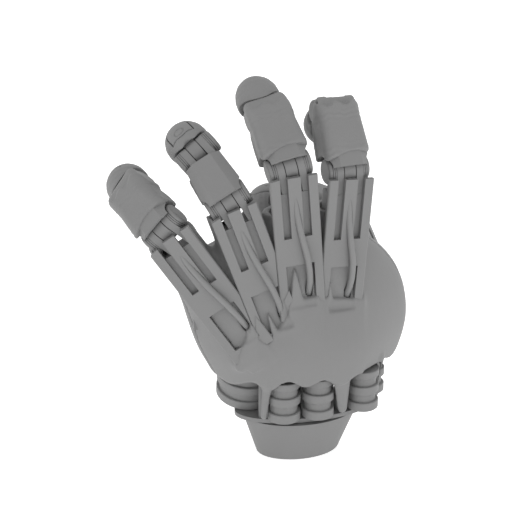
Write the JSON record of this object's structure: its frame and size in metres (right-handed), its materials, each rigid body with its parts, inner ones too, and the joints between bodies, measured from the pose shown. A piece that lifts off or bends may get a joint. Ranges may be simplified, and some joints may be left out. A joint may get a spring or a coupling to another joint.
{
  "type": "prosthetic hand",
  "caption": "Tendon-driven prosthetic hand with slotted metal finger rays, flexing knuckles, an opposing thumb and a turning wrist collar of winding drums.",
  "frame": {"origin": "centre of the wrist stump's flat mounting face, at the mouth of its socket bore", "axes": "+Z from the wrist towards the fingertips, -Y out of the back of the hand, +X towards the thumb"},
  "size_m": [0.1392, 0.0742, 0.1741],
  "materials": {
    "anodised_metal": "bead-blasted grey anodised",
    "steel": "satin",
    "motor_can": "satin",
    "shell_nylon": "fine sintered matte",
    "sleeve_nylon": "fine sintered matte",
    "nail_nylon": "fine sintered matte",
    "drum_nylon": "machined matte",
    "skin_silicone": "matte silicone with fine pores",
    "pad_silicone": "matte silicone with fine pores",
    "tendon_tube": "extruded matte"
  },
  "bodies": {
    "stump": {"wrist_stump": "anodised_metal", "wrist_spindle": "steel"},
    "palm": {"wrist_plate": "anodised_metal", "wrist_standoffs": "steel", "chassis": "anodised_metal", "drive_motors": "motor_can", "ray_screws": "steel", "drum_axles": "steel", "dorsal_shell": "shell_nylon", "palm_skin": "skin_silicone", "finger_roots": "skin_silicone", "little_ray_frame": "anodised_metal", "ring_ray_frame": "anodised_metal", "middle_ray_frame": "anodised_metal", "index_ray_frame": "anodised_metal", "tendon_tubes": "tendon_tube", "knuckle_stacks": "steel", "thumb_ray_frame": "anodised_metal"},
    "thumb_swivel": {"thumb_swivel_fork": "anodised_metal", "thumb_knuckle_stack": "steel"},
    "ring_little_drum": {"ring_little_drum": "drum_nylon"},
    "middle_drum": {"middle_drum": "drum_nylon"},
    "index_drum": {"index_drum": "drum_nylon"},
    "thumb_drum": {"thumb_drum": "drum_nylon"},
    "thumb_swivel_drum": {"thumb_swivel_drum": "drum_nylon"},
    "little_link": {"little_link_frame": "anodised_metal", "little_sleeve": "sleeve_nylon", "little_link_pad": "pad_silicone", "little_tip_stack": "steel"},
    "little_tip": {"little_tip_core": "anodised_metal", "little_tip_pad": "pad_silicone", "little_nail_plate": "nail_nylon"},
    "ring_link": {"ring_link_frame": "anodised_metal", "ring_sleeve": "sleeve_nylon", "ring_link_pad": "pad_silicone", "ring_tip_stack": "steel"},
    "ring_tip": {"ring_tip_core": "anodised_metal", "ring_tip_pad": "pad_silicone", "ring_nail_plate": "nail_nylon"},
    "middle_link": {"middle_link_frame": "anodised_metal", "middle_sleeve": "sleeve_nylon", "middle_link_pad": "pad_silicone", "middle_tip_stack": "steel"},
    "middle_tip": {"middle_tip_core": "anodised_metal", "middle_tip_pad": "pad_silicone", "middle_nail_plate": "nail_nylon"},
    "index_link": {"index_link_frame": "anodised_metal", "index_sleeve": "sleeve_nylon", "index_link_pad": "pad_silicone", "index_tip_stack": "steel"},
    "index_tip": {"index_tip_core": "anodised_metal", "index_tip_pad": "pad_silicone", "index_nail_plate": "nail_nylon"},
    "thumb_link": {"thumb_link_frame": "anodised_metal", "thumb_sleeve": "sleeve_nylon", "thumb_link_pad": "pad_silicone", "thumb_tip_stack": "steel"},
    "thumb_tip": {"thumb_tip_core": "anodised_metal", "thumb_tip_pad": "pad_silicone", "thumb_nail_plate": "nail_nylon"}
  },
  "joints": [
    {"name": "wrist_turn", "type": "hinge", "parent": "stump", "child": "palm", "pos_m": [0, 0, 0.0205], "axis": [0, 0, 1], "range_deg": [-90, 90]},
    {"name": "thumb_swivel", "type": "hinge", "parent": "palm", "child": "thumb_swivel", "pos_m": [0.0275, 0.024, 0.104], "axis": [0.3689, -0.1736, -0.9131], "range_deg": [-35, 35]},
    {"name": "little_knuckle", "type": "hinge", "parent": "palm", "child": "little_link", "pos_m": [-0.062, -0.009, 0.116], "axis": [-0.6313, 0.1192, -0.7663], "range_deg": [-46, 44]},
    {"name": "little_tip_joint", "type": "hinge", "parent": "little_link", "child": "little_tip", "pos_m": [-0.07157, 0.00839, 0.12659], "axis": [-0.566, 0.0104, -0.8244], "range_deg": [-28, 80]},
    {"name": "ring_knuckle", "type": "hinge", "parent": "palm", "child": "ring_link", "pos_m": [-0.0355, -0.014, 0.1278], "axis": [-0.8568, 0.0376, -0.5142], "range_deg": [-40, 50]},
    {"name": "ring_tip_joint", "type": "hinge", "parent": "ring_link", "child": "ring_tip", "pos_m": [-0.04493, 0.00186, 0.14467], "axis": [-0.7873, -0.0621, -0.6135], "range_deg": [-32, 76]},
    {"name": "middle_knuckle", "type": "hinge", "parent": "palm", "child": "middle_link", "pos_m": [-0.0102, -0.016, 0.1413], "axis": [-0.9761, -0.0109, -0.2172], "range_deg": [-48, 42]},
    {"name": "middle_tip_joint", "type": "hinge", "parent": "middle_link", "child": "middle_tip", "pos_m": [-0.01431, 0.002, 0.15889], "axis": [-0.9624, -0.0601, -0.2648], "range_deg": [-9, 99]},
    {"name": "index_knuckle", "type": "hinge", "parent": "palm", "child": "index_link", "pos_m": [0.0158, -0.013, 0.1378], "axis": [-0.9941, -0.101, -0.0388], "range_deg": [-31, 59]},
    {"name": "index_tip_joint", "type": "hinge", "parent": "index_link", "child": "index_tip", "pos_m": [0.01366, -0.00067, 0.16059], "axis": [-0.9971, -0.0761, 0.0072], "range_deg": [-104, 4]},
    {"name": "thumb_knuckle", "type": "hinge", "parent": "thumb_swivel", "child": "thumb_link", "pos_m": [0.0275, 0.024, 0.104], "axis": [-0.4365, -0.8997, -0.0053], "range_deg": [-48, 24]},
    {"name": "thumb_tip_joint", "type": "hinge", "parent": "thumb_link", "child": "thumb_tip", "pos_m": [0.00523, 0.03476, 0.11201], "axis": [-0.4365, -0.8997, -0.0053], "range_deg": [-35, 73]},
    {"name": "ring_little_drum_spin", "type": "hinge", "parent": "palm", "child": "ring_little_drum", "pos_m": [-0.0213, 0.012, 0.0257], "axis": [0, -0.2079, 0.9781], "range_deg": [-24, 30]},
    {"name": "middle_drum_spin", "type": "hinge", "parent": "palm", "child": "middle_drum", "pos_m": [-0.0102, -0.0126, 0.0228], "axis": [0, 0, 1], "range_deg": [-58, 51]},
    {"name": "index_drum_spin", "type": "hinge", "parent": "palm", "child": "index_drum", "pos_m": [0.0056, -0.0126, 0.0228], "axis": [0, 0, 1], "range_deg": [-38, 71]},
    {"name": "thumb_drum_spin", "type": "hinge", "parent": "palm", "child": "thumb_drum", "pos_m": [0.028, -0.0095, 0.0228], "axis": [0, 0, 1], "range_deg": [-58, 29]},
    {"name": "thumb_swivel_drum_spin", "type": "hinge", "parent": "palm", "child": "thumb_swivel_drum", "pos_m": [0.037, 0.006, 0.0228], "axis": [0, 0, 1], "range_deg": [-70, 70]}
  ],
  "couplings": [
    {"joint": "ring_little_drum_spin", "follows": "ring_knuckle", "ratio": 0.6},
    {"joint": "middle_drum_spin", "follows": "middle_knuckle", "ratio": 1.2},
    {"joint": "index_drum_spin", "follows": "index_knuckle", "ratio": 1.2},
    {"joint": "thumb_drum_spin", "follows": "thumb_knuckle", "ratio": 1.2},
    {"joint": "thumb_swivel_drum_spin", "follows": "thumb_swivel", "ratio": 2}
  ]
}
